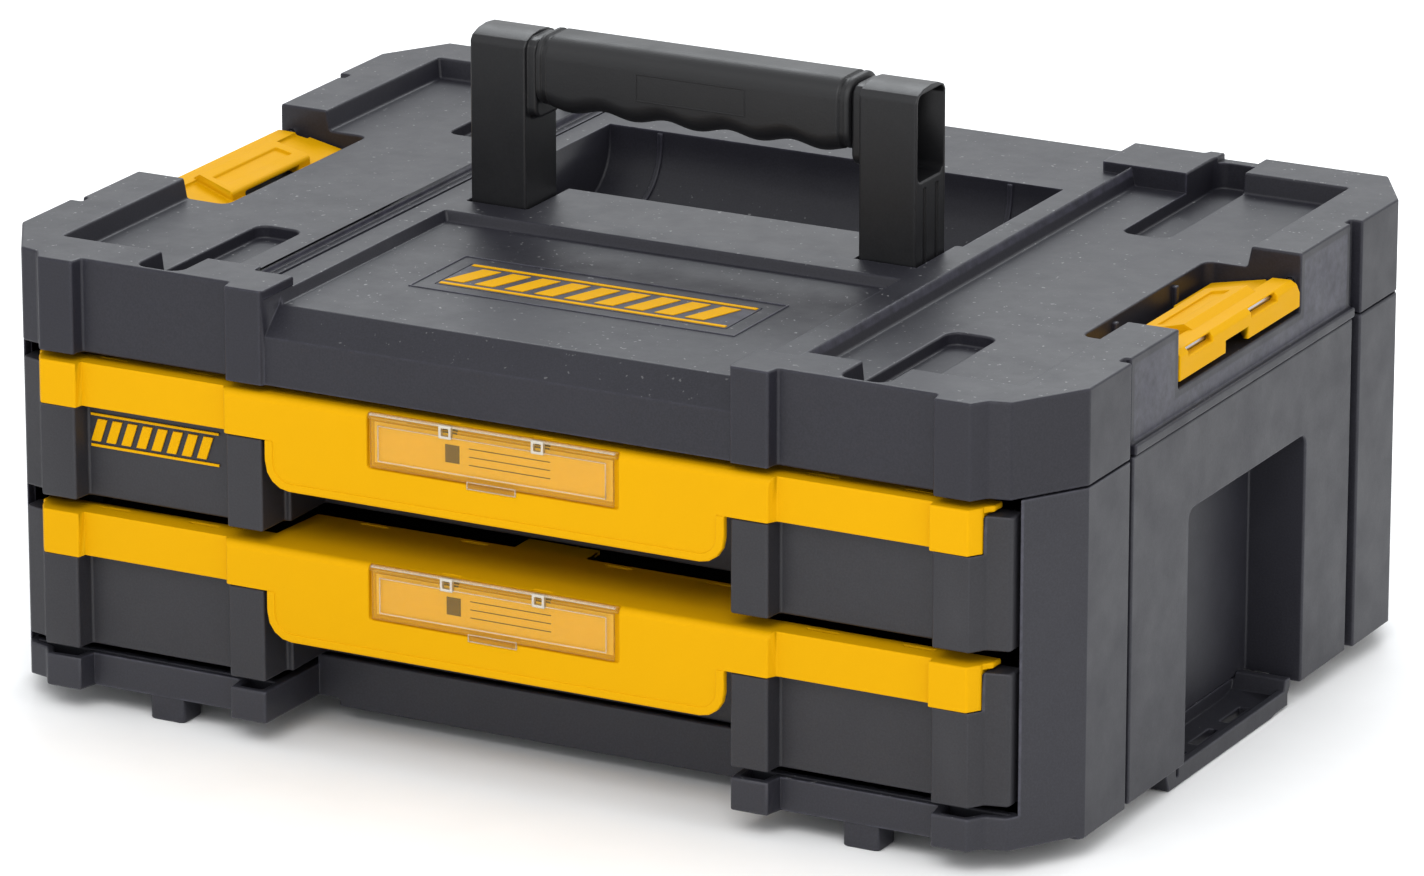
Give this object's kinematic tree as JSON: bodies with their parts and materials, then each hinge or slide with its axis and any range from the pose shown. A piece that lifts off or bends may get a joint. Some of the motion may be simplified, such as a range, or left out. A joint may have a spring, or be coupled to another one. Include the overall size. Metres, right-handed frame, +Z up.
{
  "type": "stackable drawer tool box",
  "caption": "Stackable tool box with shallow slide-out drawers, moulded top with foot channels, a folding carry handle and side latches.",
  "frame": {"origin": "on the ground under the middle of the box", "axes": "+X to the right seen from the front, +Y to the back, +Z up; the drawers open towards -Y"},
  "size_m": [0.44, 0.331, 0.2387],
  "materials": {
    "moulded_charcoal": "fine moulded grain",
    "moulded_black": "fine moulded grain",
    "soft_grip": "satin",
    "moulded_yellow": "satin",
    "steel": "zinc plated",
    "clear_plastic": "clear",
    "label_card": "plain card"
  },
  "bodies": {
    "box": {"carcass": "moulded_charcoal", "top_cover": "moulded_charcoal", "cover_badge": "moulded_yellow", "lock_lip_left": "moulded_charcoal", "handle_pin_left": "steel", "latch_pin_left": "steel", "cover_screw_front_left": "steel", "cover_screw_rear_left": "steel", "lock_lip_right": "moulded_charcoal", "handle_pin_right": "steel", "latch_pin_right": "steel", "cover_screw_front_right": "steel", "cover_screw_rear_right": "steel", "lower_slide_outer_left": "steel", "lower_slide_screw_front_left": "steel", "lower_slide_screw_rear_left": "steel", "lower_slide_outer_right": "steel", "lower_slide_screw_front_right": "steel", "lower_slide_screw_rear_right": "steel", "upper_slide_outer_left": "steel", "upper_slide_screw_front_left": "steel", "upper_slide_screw_rear_left": "steel", "upper_slide_outer_right": "steel", "upper_slide_screw_front_right": "steel", "upper_slide_screw_rear_right": "steel"},
    "lower_drawer": {"lower_tray": "moulded_charcoal", "lower_trim": "moulded_yellow", "lower_label_card": "label_card", "lower_divider_long": "moulded_black", "lower_slide_inner_left": "steel", "lower_slide_inner_right": "steel"},
    "upper_drawer": {"upper_tray": "moulded_charcoal", "upper_trim": "moulded_yellow", "upper_label_card": "label_card", "upper_divider_long": "moulded_black", "upper_slide_inner_left": "steel", "upper_slide_inner_right": "steel", "upper_divider_front_left": "moulded_black", "upper_divider_front_right": "moulded_black", "upper_divider_rear_left": "moulded_black", "upper_divider_rear_right": "moulded_black", "drawer_badge": "moulded_yellow"},
    "lower_cages": {"lower_ball_cage_left": "steel", "lower_ball_cage_right": "steel"},
    "upper_cages": {"upper_ball_cage_left": "steel", "upper_ball_cage_right": "steel"},
    "lower_window": {"lower_label_window": "clear_plastic"},
    "upper_window": {"upper_label_window": "clear_plastic"},
    "handle": {"handle_frame": "moulded_black", "handle_grip": "soft_grip"},
    "latch_left": {"latch_left": "moulded_yellow"},
    "latch_right": {"latch_right": "moulded_yellow"}
  },
  "joints": [
    {"name": "lower_drawer_slide", "type": "slide", "parent": "box", "child": "lower_drawer", "axis": [0, -1, 0], "range_m": [0, 0.2]},
    {"name": "lower_cage_roll", "type": "slide", "parent": "box", "child": "lower_cages", "axis": [0, -1, 0], "range_m": [0, 0.1]},
    {"name": "lower_window_flip", "type": "hinge", "parent": "lower_drawer", "child": "lower_window", "pos_m": [0, -0.1641, 0.0778], "axis": [-1, 0, 0], "range_deg": [0, 100]},
    {"name": "upper_drawer_slide", "type": "slide", "parent": "box", "child": "upper_drawer", "axis": [0, -1, 0], "range_m": [0, 0.2]},
    {"name": "upper_cage_roll", "type": "slide", "parent": "box", "child": "upper_cages", "axis": [0, -1, 0], "range_m": [0, 0.1]},
    {"name": "upper_window_flip", "type": "hinge", "parent": "upper_drawer", "child": "upper_window", "pos_m": [0, -0.1641, 0.1358], "axis": [-1, 0, 0], "range_deg": [0, 100]},
    {"name": "handle_fold", "type": "hinge", "parent": "box", "child": "handle", "pos_m": [0, -0.001, 0.1595], "axis": [-1, 0, 0], "range_deg": [0, 90]},
    {"name": "latch_left_turn", "type": "hinge", "parent": "box", "child": "latch_left", "pos_m": [-0.213, 0, 0.1645], "axis": [0, -1, 0], "range_deg": [0, 95]},
    {"name": "latch_right_turn", "type": "hinge", "parent": "box", "child": "latch_right", "pos_m": [0.213, 0, 0.1645], "axis": [0, 1, 0], "range_deg": [0, 95]}
  ],
  "couplings": [
    {"joint": "lower_cage_roll", "follows": "lower_drawer_slide", "ratio": 0.5},
    {"joint": "upper_cage_roll", "follows": "upper_drawer_slide", "ratio": 0.5}
  ]
}
